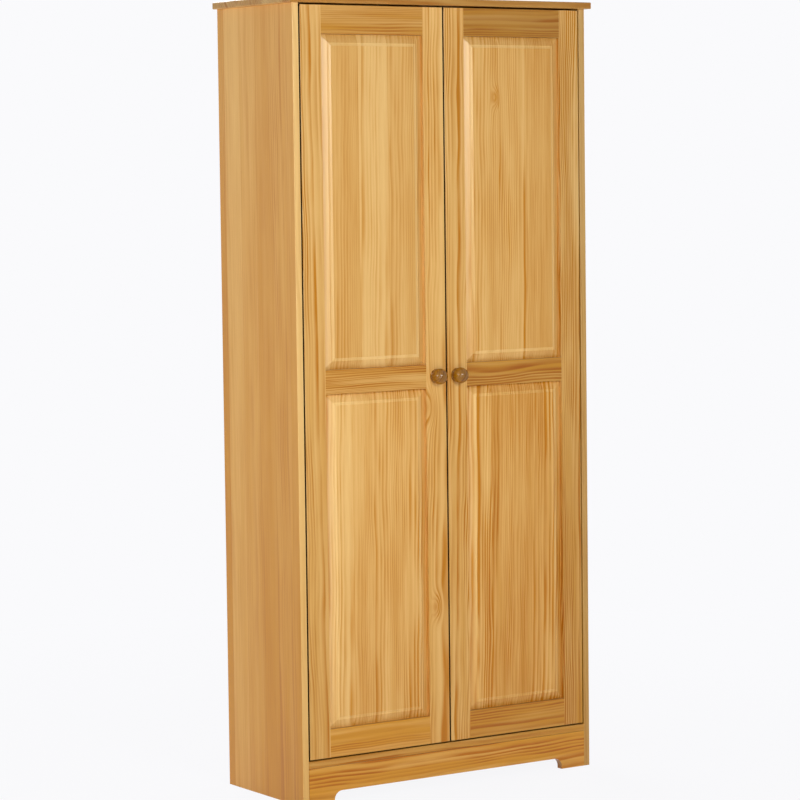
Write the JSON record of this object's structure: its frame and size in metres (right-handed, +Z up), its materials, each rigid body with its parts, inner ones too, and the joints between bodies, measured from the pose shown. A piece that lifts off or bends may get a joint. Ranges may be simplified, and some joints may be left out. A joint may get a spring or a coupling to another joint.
{
  "type": "broom cupboard",
  "caption": "Tall waxed pine broom cupboard with inset doors of raised-and-fielded panels, round wooden knobs, a small overhanging top and a plinth with a shallow arch.",
  "frame": {"origin": "on the floor at the middle of the overall box, knobs and top overhang included", "axes": "+X to the right seen from the front, +Y to the back, +Z up; the doors face -Y"},
  "size_m": [0.816, 0.352, 1.78],
  "materials": {
    "waxed_pine": "honey wax over sanded pine, satin",
    "varnished_knob_wood": "turned, stained and gloss varnished",
    "plywood": "thin plain plywood, bare",
    "beech": "fluted bare dowel stock",
    "nickel_steel": "nickel-plated pressed steel",
    "zinc_steel": "bright zinc-plated steel",
    "brown_plastic": "moulded brown plastic",
    "magnet": "bare dark magnet block with steel faces"
  },
  "bodies": {
    "carcass": {"back_panel_nails": "zinc_steel", "bottom_board": "waxed_pine", "carcass_dowels": "beech", "catch_screws": "zinc_steel", "hat_shelf": "waxed_pine", "hinge_arm_screws": "zinc_steel", "hinge_plate_screws": "zinc_steel", "hinge_plates": "nickel_steel", "left_back_panel": "plywood", "left_bottom_hinge_arm": "nickel_steel", "left_catch_housing": "brown_plastic", "left_catch_magnet": "magnet", "left_middle_hinge_arm": "nickel_steel", "left_side_board": "waxed_pine", "left_top_hinge_arm": "nickel_steel", "lower_shelf": "waxed_pine", "middle_shelf": "waxed_pine", "partition": "waxed_pine", "plinth": "waxed_pine", "right_back_panel": "plywood", "right_bottom_hinge_arm": "nickel_steel", "right_catch_housing": "brown_plastic", "right_catch_magnet": "magnet", "right_middle_hinge_arm": "nickel_steel", "right_side_board": "waxed_pine", "right_top_hinge_arm": "nickel_steel", "shelf_pins": "zinc_steel", "top_board": "waxed_pine", "upper_shelf": "waxed_pine"},
    "left_door": {"left_bottom_hinge_cup": "nickel_steel", "left_door_bottom_rail": "waxed_pine", "left_door_hinge_stile": "waxed_pine", "left_door_lower_panel": "waxed_pine", "left_door_meeting_stile": "waxed_pine", "left_door_middle_rail": "waxed_pine", "left_door_screws": "zinc_steel", "left_door_top_rail": "waxed_pine", "left_door_upper_panel": "waxed_pine", "left_hinge_pins": "nickel_steel", "left_knob": "varnished_knob_wood", "left_knob_screw": "zinc_steel", "left_middle_hinge_cup": "nickel_steel", "left_strike_plate": "zinc_steel", "left_top_hinge_cup": "nickel_steel"},
    "right_door": {"right_bottom_hinge_cup": "nickel_steel", "right_door_bottom_rail": "waxed_pine", "right_door_hinge_stile": "waxed_pine", "right_door_lower_panel": "waxed_pine", "right_door_meeting_stile": "waxed_pine", "right_door_middle_rail": "waxed_pine", "right_door_screws": "zinc_steel", "right_door_top_rail": "waxed_pine", "right_door_upper_panel": "waxed_pine", "right_hinge_pins": "nickel_steel", "right_knob": "varnished_knob_wood", "right_knob_screw": "zinc_steel", "right_middle_hinge_cup": "nickel_steel", "right_strike_plate": "zinc_steel", "right_top_hinge_cup": "nickel_steel"}
  },
  "joints": [
    {"name": "left_door_hinge", "type": "hinge", "parent": "carcass", "child": "left_door", "pos_m": [-0.3545, -0.134, 0.932], "axis": [0, 0, -1], "range_deg": [0, 105]},
    {"name": "right_door_hinge", "type": "hinge", "parent": "carcass", "child": "right_door", "pos_m": [0.3545, -0.134, 0.932], "axis": [0, 0, 1], "range_deg": [0, 105]}
  ]
}
